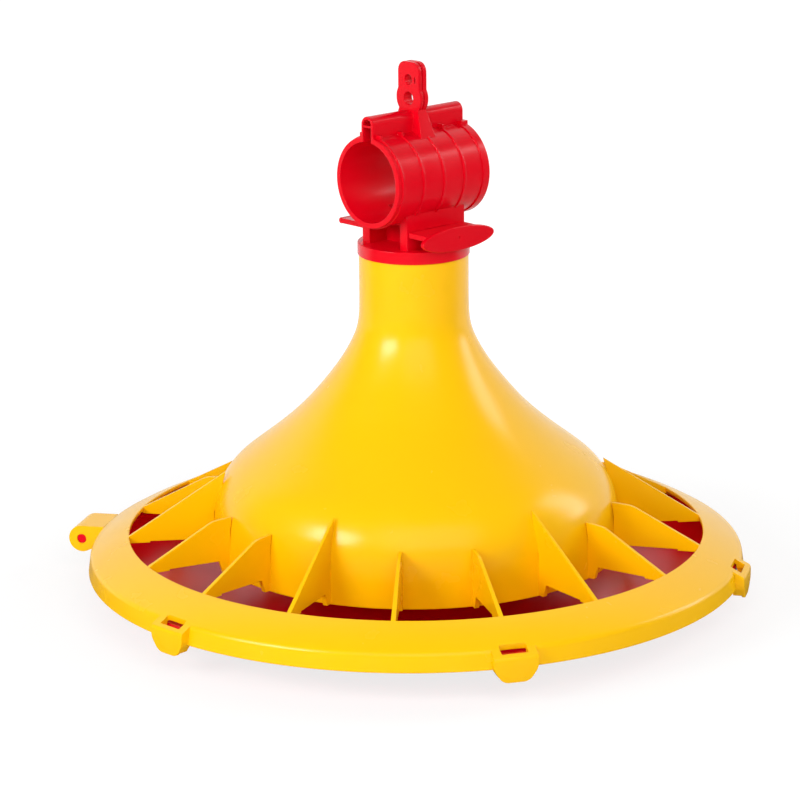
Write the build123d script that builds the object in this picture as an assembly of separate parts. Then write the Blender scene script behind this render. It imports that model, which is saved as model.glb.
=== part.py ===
"""Automatic poultry pan feeder that hangs on a feed pipe.

Frame: millimetres, +Z up, the pan stands on Z = 0, the drop axis is the Z axis,
the feed pipe runs along X and the shut-off slide is pulled out along -Y.
"""
from build123d import *
import math
import os

# Feed pipe and the socket that sits on it
PIPE_DIA = 45.0
PIPE_PLAY = 0.35
TUBE_WALL = 3.0
TUBE_HALF = 34.65
AXIS_RISE = 38.2
RIB_PROUD = 0.75
RIB_WIDTH = 1.7
RIB_PITCH = 15.6
BAND_WIDTH = 5.2
RIM_STEP = 2.4
RIB_CORNER_HALF = 8.6

# Keel: the open channel on top of the socket
KEEL_WIDTH = 9.6
KEEL_WALL = 1.6
KEEL_RISE = 11.45

# Hanger plate above the keel
HANG_WIDTH = 17.0
HANG_THICK = 6.2
HANG_RISE = 27.0
HANG_GROOVE = 1.0
HANG_FRONT = 2.4
HANG_CORNER = 5.5
HANG_LAP = 6.0
SLIT_OUT = 5.2
SLIT_WIDE = 1.0
SLIT_HIGH = 3.4
HANG_EAR_R = 10.0
HOLE_LOW_DIA = 7.6
HOLE_LOW_RISE = 6.3
HOLE_TOP_DIA = 6.0
HOLE_TOP_RISE = 16.9
SADDLE_HALF_X = 6.2
SADDLE_HALF_Y = 13.6

# Neck block, feed chute and collar under the socket
BLOCK_HALF_X = 22.2
BLOCK_HALF_Y = 18.6
CHEEK = 6.1
CORE_HALF_X = 9.4
CHUTE_HALF_X = 6.9
CHUTE_HALF_Y = 13.4
COLLAR_R = 31.9
COLLAR_H = 7.2
SPIGOT_DEEP = 18.0
SPIGOT_WALL = 2.5
SPIGOT_GAP = 0.15

# Shut-off slide
SLIDE_THICK = 3.0
SLIDE_RISE = 7.5
SLIDE_HALF_X = 21.4
STEM_HALF_X = 7.9
STEM_SIDE_GAP = 0.1
STEM_FACE_GAP = 0.1
SLIDE_HOME_GAP = 0.3
WING_LONG = 13.3
LEAF_THICK = 2.6
LEAF_LONG = 55.0
LEAF_HIGH = 13.6
LEAF_SHIFT = 2.5
LEAF_DROP = 3.0
SLIDE_TRAVEL = 28.0
TAB_LONG = 20.9
BEAD_DIA = 3.5

# Cone grille
NECK_R = 31.2
NECK_WALL = 2.5
WALL_R = 116.6
WALL_FOOT_R = 118.0
WALL_FOOT_RISE = 10.5
SHOULDER_RISE = 35.0
NECK_FOOT_RISE = 150.0
NECK_TOP_RISE = 183.3
RING_R = 190.0
RING_WIDTH = 24.0
RING_INNER_RISE = 21.4
RING_CREASE_IN = 1.5
RING_CREASE_RISE = 10.3
RING_WALL = 2.5
RING_CORNER_WALL = 2.0
RING_CROWN = 0.7
FIN_COUNT = 18
FIN_STEP = 3
FIN_TALL_RISE = 58.0
FIN_SHORT_RISE = 43.0
FIN_KNEE_OUT = 10.5
FIN_FOOT_THICK = 3.0
FIN_TOP_THICK = 1.5
FIN_LOW_RISE = 18.0
FIN_LIP = 0.9
FIN_LIP_LONG = 12.0
FIN_NOTCH_OUT = 6.0
FIN_TAB_OUT = 3.6
GRILLE_TURN = 2.7

# Latch lugs of the ring and tongues of the pan
LUG_OUT = 4.5
LUG_WALL = 2.2
LUG_DROP = 6.6
LUG_HALF_TOP = 12.4
LUG_HALF_LOW = 7.4
LUG_CORNER = 3.0
POCKET_HALF = 8.6
WINDOW_HALF = 7.5
WINDOW_IN = 4.6
TONGUE_HALF = 7.3
TONGUE_RISE = 1.6
TONGUE_THICK = 3.0
TONGUE_GAP = 0.4

# Pan hinge
HINGE_OUT = 11.5
HINGE_RISE = 2.5
HUMP_R = 7.9
HUMP_HALF = 13.0
HUMP_WALL = 2.3
PIN_DIA = 5.6
PIN_PLAY = 0.08
KNUCKLE_R = 4.6
KNUCKLE_GAP = 0.3
HINGE_ARM = 4.4

# Feed pan
PAN_DROP = 20.0
PAN_BASE_R = 118.0
PAN_WALL = 2.5
PAN_GAP = 0.5
PAN_RIM_RISE = 6.8
PAN_RIM_FOOT = 1.2
PAN_CONE_R = 58.0
PAN_CONE_TOP = 26.0
PAN_CONE_TIP_R = 9.0

# Bell curve between shoulder and neck as fractions of its reach and of its height
BELL_CURVE = [
    (0.0, 1.0), (0.012, 0.93), (0.039, 0.87), (0.097, 0.787), (0.179, 0.696),
    (0.273, 0.609), (0.372, 0.522), (0.495, 0.435), (0.636, 0.348),
    (0.770, 0.274), (0.870, 0.213), (0.940, 0.143), (0.984, 0.070), (1.0, 0.0),
]

# Heights and radii that follow from the sizes above
Z_SKIRT = PAN_DROP
RING_INNER_R = RING_R - RING_WIDTH
Z_COLLAR = Z_SKIRT + NECK_TOP_RISE
Z_BLOCK = Z_COLLAR + COLLAR_H
Z_AXIS = Z_BLOCK + AXIS_RISE
BORE_R = PIPE_DIA / 2 + PIPE_PLAY
TUBE_R = BORE_R + TUBE_WALL
Z_KEEL = Z_AXIS + TUBE_R + KEEL_RISE
Z_SLIDE = Z_BLOCK + SLIDE_RISE
HINGE_R = RING_R + HINGE_OUT
Z_HINGE = Z_SKIRT + HINGE_RISE
RING_INSIDE_R = RING_R - RING_CREASE_IN - RING_CORNER_WALL
PAN_R = RING_INSIDE_R - PAN_GAP


def sector(radius, z_low, z_high):
    """Solid disc about the drop axis between two heights."""
    return Pos(0, 0, (z_low + z_high) / 2) * Cylinder(radius, z_high - z_low)


def block(x_low, x_high, y_low, y_high, z_low, z_high):
    """Box between six given planes."""
    body = Box(x_high - x_low, y_high - y_low, z_high - z_low)
    return Pos((x_low + x_high) / 2, (y_low + y_high) / 2, (z_low + z_high) / 2) * body


def spin(points):
    """Solid turned about the drop axis from an outline of radius and height."""
    corners = [(r, 0, z) for r, z in points]
    face = make_face(Polyline(*corners, close=True))
    return revolve(face, axis=Axis.Z)


def along_x(sketch, x_low, x_high):
    """Solid from a sketch drawn with Y to the right and Z up, run along X."""
    raised = Pos(x_low, 0, 0) * (Plane.YZ * sketch)
    return extrude(raised, amount=x_high - x_low, dir=(1, 0, 0))


def station(index):
    """Angle of one of the six rim stations, the hinge being number two."""
    return GRILLE_TURN + 60 * index


HINGE_STATION = 2
LATCH_STATIONS = [0, 1, 3, 4, 5]


def make_tee():
    """Pipe socket, keel, hanger, neck block, collar and spigot in one moulding."""
    keel_half = KEEL_WIDTH / 2
    slot_half = keel_half - KEEL_WALL
    arch = Z_KEEL - keel_half
    outline = Pos(0, Z_AXIS) * Circle(TUBE_R)
    outline += Pos(0, (Z_AXIS + arch) / 2) * Rectangle(KEEL_WIDTH, arch - Z_AXIS)
    outline += Pos(0, arch) * Circle(keel_half)
    hollow = Pos(0, Z_AXIS) * Circle(BORE_R)
    hollow += Pos(0, (Z_AXIS + arch) / 2) * Rectangle(2 * slot_half, arch - Z_AXIS)
    hollow += Pos(0, arch) * Circle(slot_half)
    body = along_x(outline, -TUBE_HALF, TUBE_HALF)

    corner = Z_AXIS + TUBE_R + 2 * RIB_PROUD
    hoop = Pos(0, Z_AXIS) * Circle(TUBE_R + RIB_PROUD)
    hoop += Pos(0, corner - 4) * Rectangle(2 * RIB_CORNER_HALF, 8)
    places = [(-RIB_PITCH, RIB_WIDTH), (0, RIB_WIDTH), (RIB_PITCH, RIB_WIDTH)]
    for x, width in places:
        body += along_x(hoop, x - width / 2, x + width / 2)
    body += along_x(hoop, TUBE_HALF - BAND_WIDTH, TUBE_HALF)
    body += along_x(hoop, RIM_STEP - TUBE_HALF, RIM_STEP + RIB_WIDTH - TUBE_HALF)

    saddle_low = Z_AXIS + 0.7 * TUBE_R
    saddle_top = Z_KEEL + 1.0
    foot = Pos(0, 0, saddle_low) * Rectangle(2 * SADDLE_HALF_X, 2 * SADDLE_HALF_Y + 2)
    head = Pos(0, 0, saddle_top) * Rectangle(HANG_THICK, HANG_WIDTH - 2)
    body += loft([foot, head])
    z_low_hole = Z_KEEL + HOLE_LOW_RISE
    z_top_hole = Z_KEEL + HOLE_TOP_RISE
    z_top = Z_KEEL + HANG_RISE
    z_foot = z_low_hole - HANG_LAP
    z_mid = (z_foot + z_top) / 2
    plate = Pos(0, z_mid) * RectangleRounded(HANG_WIDTH, z_top - z_foot, HANG_CORNER)
    plate += Pos(0, z_low_hole) * Circle(HANG_EAR_R)
    plate += Pos(0, Z_KEEL + 1) * Rectangle(HANG_WIDTH - 2, 8)
    inner = Pos(0, z_mid) * RectangleRounded(
        HANG_WIDTH - 2 * HANG_GROOVE, z_top - z_foot - 2 * HANG_GROOVE,
        HANG_CORNER - HANG_GROOVE)
    inner += Pos(0, z_low_hole) * Circle(HANG_EAR_R - HANG_GROOVE)
    inner += Pos(0, Z_KEEL + 1) * Rectangle(HANG_WIDTH - 2, 8)
    front = -HANG_THICK / 2
    groove = front + HANG_FRONT
    body += along_x(plate, front, groove)
    body += along_x(inner, groove, groove + HANG_GROOVE)
    body += along_x(plate, groove + HANG_GROOVE, -front)
    low_hole = Pos(0, z_low_hole) * Circle(HOLE_LOW_DIA / 2)
    body -= along_x(low_hole, -HANG_THICK, HANG_THICK)
    top_hole = Pos(0, z_top_hole) * Circle(HOLE_TOP_DIA / 2)
    body -= along_x(top_hole, -HANG_THICK, HANG_THICK)
    slit = Pos(-SLIT_OUT, z_top_hole) * Rectangle(SLIT_WIDE, SLIT_HIGH)
    body -= along_x(slit, -HANG_THICK, HANG_THICK)

    cheek_in = BLOCK_HALF_Y - CHEEK
    body += block(-BLOCK_HALF_X, BLOCK_HALF_X, cheek_in, BLOCK_HALF_Y, Z_BLOCK, Z_AXIS)
    body += block(-BLOCK_HALF_X, BLOCK_HALF_X, -BLOCK_HALF_Y, -cheek_in, Z_BLOCK, Z_AXIS)
    body += block(-CORE_HALF_X, CORE_HALF_X, -cheek_in, cheek_in, Z_BLOCK, Z_AXIS)
    body += sector(COLLAR_R, Z_COLLAR, Z_BLOCK)
    spigot_r = NECK_R - NECK_WALL - SPIGOT_GAP
    body += sector(spigot_r, Z_COLLAR - SPIGOT_DEEP, Z_COLLAR)

    slab_top = Z_SLIDE + SLIDE_THICK
    tab_end = BLOCK_HALF_Y + TAB_LONG
    body += block(-SLIDE_HALF_X, SLIDE_HALF_X, BLOCK_HALF_Y, tab_end - BEAD_DIA / 2,
                  Z_SLIDE, slab_top)
    bead = Pos(0, tab_end - BEAD_DIA / 2, Z_SLIDE + SLIDE_THICK / 2)
    body += bead * Rot(0, 90, 0) * Cylinder(BEAD_DIA / 2, 2 * SLIDE_HALF_X)

    body -= along_x(hollow, -TUBE_HALF - 1, TUBE_HALF + 1)
    body -= block(-CHUTE_HALF_X, CHUTE_HALF_X, -CHUTE_HALF_Y, CHUTE_HALF_Y,
                  Z_COLLAR - 1, Z_AXIS)
    body -= sector(spigot_r - SPIGOT_WALL, Z_COLLAR - SPIGOT_DEEP - 1, Z_COLLAR)
    slot_half_x = STEM_HALF_X + STEM_SIDE_GAP
    body -= block(-slot_half_x, slot_half_x, -BLOCK_HALF_Y - 1, CHUTE_HALF_Y + 1.0,
                  Z_SLIDE - STEM_FACE_GAP, slab_top + STEM_FACE_GAP)
    bar_rise = Z_AXIS + TUBE_R + 0.45 * KEEL_RISE
    body += block(-TUBE_HALF, -TUBE_HALF + 1.2, -slot_half, slot_half, bar_rise, bar_rise + 1.2)
    return body


def make_slide():
    """Knife gate with its wide head and the upright finger leaf."""
    top = Z_SLIDE + SLIDE_THICK
    back = -(BLOCK_HALF_Y + SLIDE_HOME_GAP)
    leaf_in = back - WING_LONG
    body = block(-STEM_HALF_X, STEM_HALF_X, back - 1, CHUTE_HALF_Y + 0.6, Z_SLIDE, top)
    body += block(-SLIDE_HALF_X, SLIDE_HALF_X, leaf_in - 0.5, back, Z_SLIDE, top)
    oval = Pos(LEAF_SHIFT, 0) * Ellipse(LEAF_LONG / 2, LEAF_HIGH / 2)
    plane = Plane(origin=(0, leaf_in, Z_SLIDE + SLIDE_THICK / 2 - LEAF_DROP),
                  x_dir=(1, 0, 0), z_dir=(0, -1, 0))
    body += extrude(plane * oval, amount=LEAF_THICK)
    return body


def bell_points():
    """Outer bell curve from neck foot to shoulder in radius and height."""
    low = Z_SKIRT + SHOULDER_RISE
    high = Z_SKIRT + NECK_FOOT_RISE
    return [(NECK_R + (WALL_R - NECK_R) * a, low + (high - low) * b) for a, b in BELL_CURVE]


def inset(points, depth):
    """Curve moved towards the drop axis by the wall thickness."""
    moved = []
    last = len(points) - 1
    for i, (r, z) in enumerate(points):
        r0, z0 = points[max(i - 1, 0)]
        r1, z1 = points[min(i + 1, last)]
        run = math.hypot(r1 - r0, z1 - z0)
        if i == 0:
            moved.append((r - depth, z))
        else:
            moved.append((r + depth * (z1 - z0) / run, z - depth * (r1 - r0) / run))
    return moved


def make_bell():
    """Neck, bell and drum wall."""
    curve = bell_points()
    inner = inset(curve, NECK_WALL)
    foot = Z_SKIRT + WALL_FOOT_RISE
    outer_pts = [Vector(r, 0, z) for r, z in curve]
    inner_pts = [Vector(r, 0, z) for r, z in inner]
    edges = [
        Line((NECK_R, 0, Z_COLLAR), outer_pts[0]),
        Spline(*outer_pts, tangents=[(0, 0, -1), (0.06, 0, -1)]),
        Line(outer_pts[-1], (WALL_FOOT_R, 0, foot)),
        Line((WALL_FOOT_R, 0, foot), (WALL_FOOT_R - NECK_WALL, 0, foot)),
        Line((WALL_FOOT_R - NECK_WALL, 0, foot), inner_pts[-1]),
        Spline(*reversed(inner_pts), tangents=[(-0.06, 0, 1), (0, 0, 1)]),
        Line(inner_pts[0], (NECK_R - NECK_WALL, 0, Z_COLLAR)),
        Line((NECK_R - NECK_WALL, 0, Z_COLLAR), (NECK_R, 0, Z_COLLAR)),
    ]
    return revolve(make_face(Wire(edges)), axis=Axis.Z)


def ring_top(r):
    """Height of the ring's upper face at a radius, without its crown."""
    crease_r = RING_R - RING_CREASE_IN
    slope = (RING_CREASE_RISE - RING_INNER_RISE) / (crease_r - RING_INNER_R)
    return Z_SKIRT + RING_INNER_RISE + slope * (r - RING_INNER_R)


def make_ring():
    """Sloping rim ring with its skirt."""
    crease_r = RING_R - RING_CREASE_IN
    mid_r = (RING_INNER_R + crease_r) / 2
    drop = RING_WALL * 1.12
    inner_r = RING_INSIDE_R
    edges = [
        ThreePointArc((RING_INNER_R, 0, ring_top(RING_INNER_R)),
                      (mid_r, 0, ring_top(mid_r) + RING_CROWN),
                      (crease_r, 0, ring_top(crease_r))),
        Line((crease_r, 0, ring_top(crease_r)), (RING_R, 0, Z_SKIRT)),
        Line((RING_R, 0, Z_SKIRT), (RING_R - RING_WALL, 0, Z_SKIRT)),
        Line((RING_R - RING_WALL, 0, Z_SKIRT), (inner_r, 0, ring_top(inner_r) - drop)),
        ThreePointArc((inner_r, 0, ring_top(inner_r) - drop),
                      (mid_r, 0, ring_top(mid_r) + RING_CROWN - drop),
                      (RING_INNER_R, 0, ring_top(RING_INNER_R) - drop)),
        Line((RING_INNER_R, 0, ring_top(RING_INNER_R) - drop),
             (RING_INNER_R, 0, ring_top(RING_INNER_R))),
    ]
    return revolve(make_face(Wire(edges)), axis=Axis.Z)


def fin_blank(tall):
    """One fin standing in the XZ plane, tapered in thickness towards its top."""
    rise = FIN_TALL_RISE if tall else FIN_SHORT_RISE
    root = WALL_R - NECK_WALL / 2
    if tall:
        root = WALL_R - 7.0
    low = Z_SKIRT + FIN_LOW_RISE
    wall = WALL_FOOT_R - NECK_WALL / 2
    foot = Z_SKIRT + WALL_FOOT_RISE + 0.2
    end_r = RING_INNER_R + 1.0
    points = [(root, Z_SKIRT + rise)]
    if not tall:
        knee = WALL_R + FIN_KNEE_OUT
        points += [(WALL_R, Z_SKIRT + rise), (knee, Z_SKIRT + rise - 1.0)]
    points += [
        (RING_INNER_R, ring_top(RING_INNER_R) - 0.1),
        (end_r, ring_top(end_r) - 0.4),
        (end_r, low - FIN_LIP),
        (RING_INNER_R - FIN_LIP_LONG, low - FIN_LIP),
        (RING_INNER_R - FIN_LIP_LONG, low),
        (WALL_FOOT_R + FIN_NOTCH_OUT, low),
        (WALL_FOOT_R + FIN_TAB_OUT, foot),
        (wall, foot),
        (wall, Z_SKIRT + SHOULDER_RISE),
    ]
    if tall:
        points += [(WALL_R - NECK_WALL / 2, Z_SKIRT + SHOULDER_RISE)]
    face = make_face(Polyline(*[(r, 0, z) for r, z in points], close=True))
    slab = extrude(face, amount=FIN_FOOT_THICK, both=True, dir=(0, 1, 0))
    half_low = FIN_FOOT_THICK / 2
    half_top = FIN_TOP_THICK / 2
    z_low = Z_SKIRT + WALL_FOOT_RISE
    z_top = Z_SKIRT + FIN_TALL_RISE
    start = root - FIN_FOOT_THICK
    wedge = Polyline((start, -half_low, z_low), (start, half_low, z_low),
                     (start, half_top, z_top), (start, -half_top, z_top), close=True)
    reach = end_r + FIN_FOOT_THICK - start
    return slab & extrude(make_face(wedge), amount=reach, dir=(1, 0, 0))


def lug_outer():
    """Solid of one latch lug on the +X side of the ring."""
    outline = Polyline(
        (-LUG_HALF_TOP, RING_CREASE_RISE + 4), (-LUG_HALF_TOP, 1.0),
        (-LUG_HALF_LOW, -LUG_DROP), (LUG_HALF_LOW, -LUG_DROP),
        (LUG_HALF_TOP, 1.0), (LUG_HALF_TOP, RING_CREASE_RISE + 4), close=True)
    face = make_face(outline)
    face = fillet(face.vertices().group_by(Axis.Y)[0], LUG_CORNER)
    solid = along_x(Pos(0, Z_SKIRT) * face, RING_R - 10, RING_R + LUG_OUT + 5)
    out = RING_R + LUG_OUT
    gate = spin([
        (RING_R - RING_WALL, Z_SKIRT - LUG_DROP - 1), (out - 0.8, Z_SKIRT - LUG_DROP - 1),
        (out, Z_SKIRT), (out, ring_top(out) - 0.6), (out - 0.8, ring_top(out - 0.8)),
        (RING_R - RING_WALL, ring_top(RING_R - RING_WALL)),
    ])
    return solid & gate


def lug_pocket():
    """Room inside one latch lug and the window above it."""
    out = RING_R + LUG_OUT - LUG_WALL
    pocket = block(RING_INSIDE_R, out, -POCKET_HALF, POCKET_HALF,
                   Z_SKIRT - LUG_DROP - 2, ring_top(out) - LUG_WALL)
    pocket = pocket & sector(out, Z_SKIRT - 20, Z_SKIRT + 20)
    window = block(RING_R - WINDOW_IN, RING_R + 1.4, -WINDOW_HALF, WINDOW_HALF,
                   Z_SKIRT + 3, Z_SKIRT + 20)
    return pocket + window


def hump_outer():
    """Hinge housing on the +X side of the ring."""
    z = Z_HINGE
    top = z + HUMP_R
    face = make_face(Polyline(
        (RING_R - RING_WALL, 0, Z_SKIRT), (RING_R - RING_WALL, 0, top + 0.3),
        (HINGE_R, 0, top), (HINGE_R - 2.5, 0, z - HUMP_R + 0.4), close=True))
    solid = extrude(face, amount=HUMP_HALF, both=True, dir=(0, 1, 0))
    solid += Pos(HINGE_R, 0, z) * Rot(90, 0, 0) * Cylinder(HUMP_R, 2 * HUMP_HALF)
    inside = sector(RING_R - RING_WALL, Z_SKIRT - 30, Z_SKIRT + RING_CREASE_RISE - 2)
    return solid - inside


def hump_room():
    """Room for the knuckle and for the swing of its arm."""
    half = HUMP_HALF - HUMP_WALL
    z = Z_HINGE
    room_r = HUMP_R - HUMP_WALL
    room = Pos(HINGE_R, 0, z) * Rot(90, 0, 0) * Cylinder(room_r, 2 * half)
    room += block(RING_INSIDE_R - 0.5, HINGE_R, -half, half,
                  Z_SKIRT - 20, z + room_r)
    room += block(HINGE_R - 1, HINGE_R + KNUCKLE_R - 1, -half, half, Z_SKIRT - 20, z)
    hole = Pos(HINGE_R, 0, z) * Rot(90, 0, 0)
    return room + hole * Cylinder(PIN_DIA / 2 + PIN_PLAY, 2 * HUMP_HALF + 2)


def make_grille():
    """Cone with neck, bell, fins, rim ring, latch lugs and hinge housing."""
    body = make_bell() + make_ring()
    tall = fin_blank(True)
    short = fin_blank(False)
    fins = []
    for k in range(FIN_COUNT):
        angle = GRILLE_TURN + k * 360 / FIN_COUNT
        is_tall = k % FIN_STEP == 1
        fins.append(Rot(0, 0, angle) * (tall if is_tall else short))
    body += fins
    lug = lug_outer()
    hump = Rot(0, 0, station(HINGE_STATION)) * hump_outer()
    body += [Rot(0, 0, station(s)) * lug for s in LATCH_STATIONS] + [hump]
    pocket = lug_pocket()
    for s in LATCH_STATIONS:
        body -= Rot(0, 0, station(s)) * pocket
    body -= Rot(0, 0, station(HINGE_STATION)) * hump_room()
    return body


def make_pan():
    """Feed pan with its rim, spreading cone, tongues and hinge knuckle."""
    under = 0.0
    rim_low = Z_SKIRT + PAN_RIM_FOOT
    rim_top = Z_SKIRT + PAN_RIM_RISE
    cone_top = Z_SKIRT + PAN_CONE_TOP
    body = spin([
        (0, cone_top - PAN_WALL), (PAN_CONE_TIP_R - 2, cone_top - PAN_WALL),
        (PAN_CONE_R, under), (PAN_BASE_R, under), (PAN_R - 4.0, rim_low - 2.2),
        (PAN_R, rim_low), (PAN_R, rim_top), (PAN_R - PAN_WALL, rim_top),
        (PAN_R - PAN_WALL, rim_low + 1.2), (PAN_R - 6.0, rim_low - 0.2),
        (PAN_BASE_R - 1.0, PAN_WALL), (PAN_CONE_R + 1.2, PAN_WALL),
        (PAN_CONE_TIP_R, cone_top - 0.8), (PAN_CONE_TIP_R - 2, cone_top), (0, cone_top),
    ])
    out = RING_R + LUG_OUT - LUG_WALL - TONGUE_GAP
    tongue = block(PAN_R - 1.5, out, -TONGUE_HALF, TONGUE_HALF,
                   Z_SKIRT + TONGUE_RISE, Z_SKIRT + TONGUE_RISE + TONGUE_THICK)
    tongue = tongue & sector(out, Z_SKIRT, Z_SKIRT + TONGUE_RISE + 2 * TONGUE_THICK)
    body += [Rot(0, 0, station(s)) * tongue for s in LATCH_STATIONS]
    half = HUMP_HALF - HUMP_WALL - KNUCKLE_GAP
    arm = block(PAN_R - 1.5, HINGE_R, -half, half, Z_HINGE - HINGE_ARM / 2, Z_HINGE + HINGE_ARM / 2)
    hinge = Pos(HINGE_R, 0, Z_HINGE) * Rot(90, 0, 0)
    knuckle = hinge * Cylinder(KNUCKLE_R, 2 * half)
    pin = hinge * Cylinder(PIN_DIA / 2, 2 * HUMP_HALF)
    body += Rot(0, 0, station(HINGE_STATION)) * (arm + knuckle + pin)
    return body


parts = {
    "pipe_tee": make_tee(),
    "shutoff_slide": make_slide(),
    "cone_grille": make_grille(),
    "feed_pan": make_pan(),
}

os.makedirs("parts", exist_ok=True)
for name, body in parts.items():
    print(name, "solids", len(body.solids()), "volume_cm3", round(body.volume / 1000, 1),
          "box", [round(v, 1) for v in (*body.bounding_box().min, *body.bounding_box().max)])
    export_step(body, "parts/" + name + ".step")
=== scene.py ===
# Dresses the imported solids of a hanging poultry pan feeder.
# Every shape is drawn in millimetres in the part's own frame (the pan stands on
# Z = 0, the feed pipe runs along X, the slide is pulled out along -Y) and is
# brought to metres when it becomes an object.
import math
from types import SimpleNamespace

import bmesh
import bpy
from mathutils import Matrix, Vector


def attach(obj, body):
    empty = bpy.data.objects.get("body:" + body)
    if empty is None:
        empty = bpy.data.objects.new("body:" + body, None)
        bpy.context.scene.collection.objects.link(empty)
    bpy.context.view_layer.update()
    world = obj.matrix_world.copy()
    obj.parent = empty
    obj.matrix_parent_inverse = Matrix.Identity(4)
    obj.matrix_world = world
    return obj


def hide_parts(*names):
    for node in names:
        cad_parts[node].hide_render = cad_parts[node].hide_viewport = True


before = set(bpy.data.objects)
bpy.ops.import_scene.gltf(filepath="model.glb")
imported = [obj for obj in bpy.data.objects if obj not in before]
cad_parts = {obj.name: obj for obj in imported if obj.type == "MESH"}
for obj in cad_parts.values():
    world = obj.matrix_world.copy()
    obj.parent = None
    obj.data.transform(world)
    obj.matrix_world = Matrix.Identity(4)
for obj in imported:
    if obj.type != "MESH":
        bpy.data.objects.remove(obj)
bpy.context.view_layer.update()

bl_info = {
    "name": "Poultry pan feeder",
    "version": (1, 0, 0),
    "blender": (4, 5, 0),
    "location": "3D View > Sidebar > Pan feeder",
    "description": "Builds the looks of a hanging poultry pan feeder around its packed solids",
    "category": "Object",
}

MM = 0.001
FEEDER = "feeder"
SLIDE = "slide"
PAN = "pan"


def length(name, text, value):
    """Size property, given here in millimetres and kept in metres."""
    return bpy.props.FloatProperty(
        name=name, description=text, default=value * MM, subtype="DISTANCE", unit="LENGTH")


def turn(name, text, degrees):
    """Angle property, given here in degrees."""
    return bpy.props.FloatProperty(
        name=name, description=text, default=math.radians(degrees), subtype="ANGLE",
        unit="ROTATION")


def finish_colour(name, text, value):
    """Colour property kept as an sRGB hex word."""
    return bpy.props.StringProperty(name=name, description=text, default=value)


class FeederGrilleSizes(bpy.types.PropertyGroup):
    neck_r: length("Neck radius", "Outer radius of the straight neck", 31.2)
    wall: length("Wall", "Wall thickness of neck, bell and drum", 2.5)
    wall_r: length("Drum radius", "Outer radius of the drum wall at the shoulder", 116.6)
    foot_r: length("Drum foot radius", "Outer radius of the drum wall at its lower edge", 118.0)
    foot_z: length("Drum foot height", "Height of the drum's lower edge", 30.5)
    shoulder_z: length("Shoulder height", "Height where the bell meets the drum", 55.0)
    neck_foot_z: length("Neck foot height", "Height where the bell meets the neck", 170.0)
    neck_top_z: length("Neck top height", "Height of the neck's upper end", 203.3)
    ring_r: length("Ring radius", "Outer radius of the rim ring", 190.0)
    ring_in_r: length("Ring opening radius", "Inner radius of the rim ring", 166.0)
    ring_in_z: length("Ring inner height", "Height of the ring's inner edge", 41.4)
    crease_in: length("Crease inset", "How far the crease lies inside the ring radius", 1.5)
    crease_z: length("Crease height", "Height of the crease between ring top and skirt", 30.3)
    skirt_z: length("Skirt height", "Height of the skirt's lower edge", 20.0)
    crown: length("Ring crown", "How far the ring's top bulges above a straight slope", 0.7)
    fin_count: bpy.props.IntProperty(name="Fins", description="Number of fins", default=18)
    fin_tall: length("Tall fin height", "Height of a tall fin at the drum", 78.0)
    fin_short: length("Short fin height", "Height of a short fin at the drum", 63.0)
    fin_foot: length("Fin foot thickness", "Thickness of a fin at its lower edge", 3.0)
    fin_top: length("Fin top thickness", "Thickness of a tall fin at its top", 1.5)
    fin_low_z: length("Fin lower edge", "Height of a fin's lower edge", 38.0)
    turned: turn("Grille turn", "Turn of the fins against the feed pipe", 2.7)
    lug_out: length("Lug reach", "How far a latch lug stands out of the ring", 4.5)
    lug_drop: length("Lug drop", "How far a latch lug hangs below the skirt", 6.6)
    hinge_r: length("Hinge radius", "Distance of the hinge pin from the drop axis", 201.5)
    hinge_z: length("Hinge height", "Height of the hinge pin", 22.5)
    hump_r: length("Hinge housing radius", "Outer radius of the hinge housing", 7.9)
    hump_half: length("Hinge housing half length", "Half length of the hinge housing", 13.0)


class FeederTeeSizes(bpy.types.PropertyGroup):
    axis_z: length("Pipe height", "Height of the feed pipe's axis", 248.7)
    bore_r: length("Bore radius", "Radius of the socket's bore", 22.85)
    tube_wall: length("Socket wall", "Wall thickness of the socket", 3.0)
    half: length("Socket half length", "Half length of the socket", 34.65)
    rib_proud: length("Rib height", "How far the ribs stand out of the socket", 0.75)
    rib_wide: length("Rib width", "Width of a rib along the pipe", 1.7)
    rib_pitch: length("Rib pitch", "Distance between the ribs", 15.6)
    band: length("End band", "Width of the band at the rear end", 5.2)
    keel_wide: length("Keel width", "Outer width of the channel on top", 9.6)
    keel_wall: length("Keel wall", "Wall thickness of the channel", 1.6)
    keel_rise: length("Keel rise", "Height of the channel above the socket", 11.45)
    hang_wide: length("Hanger width", "Width of the hanger plate", 17.0)
    hang_thick: length("Hanger thickness", "Thickness of the hanger plate", 6.2)
    hang_rise: length("Hanger rise", "Height of the hanger above the keel", 27.0)
    ear_r: length("Ear radius", "Radius of the hanger's round ear", 10.0)
    hole_low: length("Lower hole", "Diameter of the lower hole", 7.6)
    hole_top: length("Upper hole", "Diameter of the upper hole", 6.0)
    block_x: length("Block half width", "Half width of the neck block along the pipe", 22.2)
    block_y: length("Block half depth", "Half depth of the neck block across the pipe", 18.6)
    cheek: length("Cheek thickness", "Thickness of the neck block's side plates", 6.1)
    core_x: length("Core half width", "Half width of the core between the cheeks", 9.4)
    collar_r: length("Collar radius", "Radius of the collar on the neck", 31.9)
    collar_z: length("Collar height", "Height of the collar's lower face", 203.3)
    collar_h: length("Collar thickness", "Thickness of the collar", 7.2)


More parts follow.
